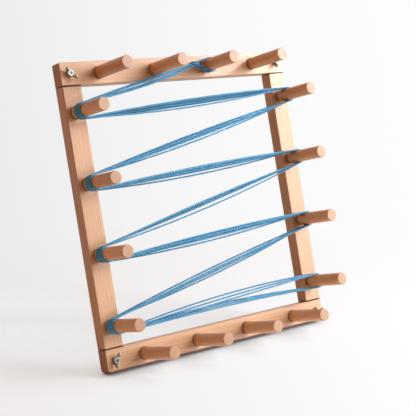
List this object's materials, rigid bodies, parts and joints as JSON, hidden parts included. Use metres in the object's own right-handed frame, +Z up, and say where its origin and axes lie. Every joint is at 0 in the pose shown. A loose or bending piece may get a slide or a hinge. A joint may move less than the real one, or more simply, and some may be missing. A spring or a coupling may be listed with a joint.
{
  "type": "warping board",
  "caption": "Small upright wooden warping board: a bolted frame with pegs on all sides and a warp wound in a zigzag between its side pegs.",
  "frame": {"origin": "middle of the bottom bar's underside, half-way through its thickness", "axes": "+X to the right along the bars seen from the pegs' side, +Y out of the back, so the pegs point towards -Y, +Z up"},
  "size_m": [0.42, 0.095, 0.444],
  "materials": {
    "frame_wood": "fine-sanded and lightly oiled beech",
    "peg_wood": "fine-sanded beech dowel",
    "zinc_steel": "bright zinc-plated",
    "yarn": "smooth plied cotton yarn"
  },
  "bodies": {
    "board": {"top_bar": "frame_wood", "bottom_bar": "frame_wood", "left_bar": "frame_wood", "right_bar": "frame_wood", "peg_top_1": "peg_wood", "peg_top_2": "peg_wood", "peg_top_3": "peg_wood", "peg_top_4": "peg_wood", "peg_bottom_1": "peg_wood", "peg_bottom_2": "peg_wood", "peg_bottom_3": "peg_wood", "peg_bottom_4": "peg_wood", "peg_left_1": "peg_wood", "peg_left_2": "peg_wood", "peg_left_3": "peg_wood", "peg_left_4": "peg_wood", "peg_right_1": "peg_wood", "peg_right_2": "peg_wood", "peg_right_3": "peg_wood", "peg_right_4": "peg_wood", "bolt_left_top": "zinc_steel", "bolt_left_bottom": "zinc_steel", "bolt_right_top": "zinc_steel", "bolt_right_bottom": "zinc_steel", "warp_yarn": "yarn", "warp_tie": "yarn"},
    "washer_left_top": {"washer_left_top": "zinc_steel"},
    "wing_nut_left_top": {"wing_nut_left_top": "zinc_steel"},
    "washer_left_bottom": {"washer_left_bottom": "zinc_steel"},
    "wing_nut_left_bottom": {"wing_nut_left_bottom": "zinc_steel"},
    "washer_right_top": {"washer_right_top": "zinc_steel"},
    "wing_nut_right_top": {"wing_nut_right_top": "zinc_steel"},
    "washer_right_bottom": {"washer_right_bottom": "zinc_steel"},
    "wing_nut_right_bottom": {"wing_nut_right_bottom": "zinc_steel"}
  },
  "joints": [
    {"name": "travel_left_top", "type": "slide", "parent": "board", "child": "washer_left_top", "axis": [0, -1, 0], "range_m": [0, 0.0058]},
    {"name": "turn_left_top", "type": "hinge", "parent": "washer_left_top", "child": "wing_nut_left_top", "pos_m": [-0.1965, -0.0145, 0.427], "axis": [0, -1, 0], "range_deg": [0, 2520]},
    {"name": "travel_left_bottom", "type": "slide", "parent": "board", "child": "washer_left_bottom", "axis": [0, -1, 0], "range_m": [0, 0.0058]},
    {"name": "turn_left_bottom", "type": "hinge", "parent": "washer_left_bottom", "child": "wing_nut_left_bottom", "pos_m": [-0.1965, -0.0145, 0.017], "axis": [0, -1, 0], "range_deg": [0, 2520]},
    {"name": "travel_right_top", "type": "slide", "parent": "board", "child": "washer_right_top", "axis": [0, -1, 0], "range_m": [0, 0.0058]},
    {"name": "turn_right_top", "type": "hinge", "parent": "washer_right_top", "child": "wing_nut_right_top", "pos_m": [0.1965, -0.0145, 0.427], "axis": [0, -1, 0], "range_deg": [0, 2520]},
    {"name": "travel_right_bottom", "type": "slide", "parent": "board", "child": "washer_right_bottom", "axis": [0, -1, 0], "range_m": [0, 0.0058]},
    {"name": "turn_right_bottom", "type": "hinge", "parent": "washer_right_bottom", "child": "wing_nut_right_bottom", "pos_m": [0.1965, -0.0145, 0.017], "axis": [0, -1, 0], "range_deg": [0, 2520]}
  ],
  "couplings": [
    {"joint": "travel_left_top", "follows": "turn_left_top", "m_per_rad": 0.00012732},
    {"joint": "travel_left_bottom", "follows": "turn_left_bottom", "m_per_rad": 0.00012732},
    {"joint": "travel_right_top", "follows": "turn_right_top", "m_per_rad": 0.00012732},
    {"joint": "travel_right_bottom", "follows": "turn_right_bottom", "m_per_rad": 0.00012732}
  ]
}
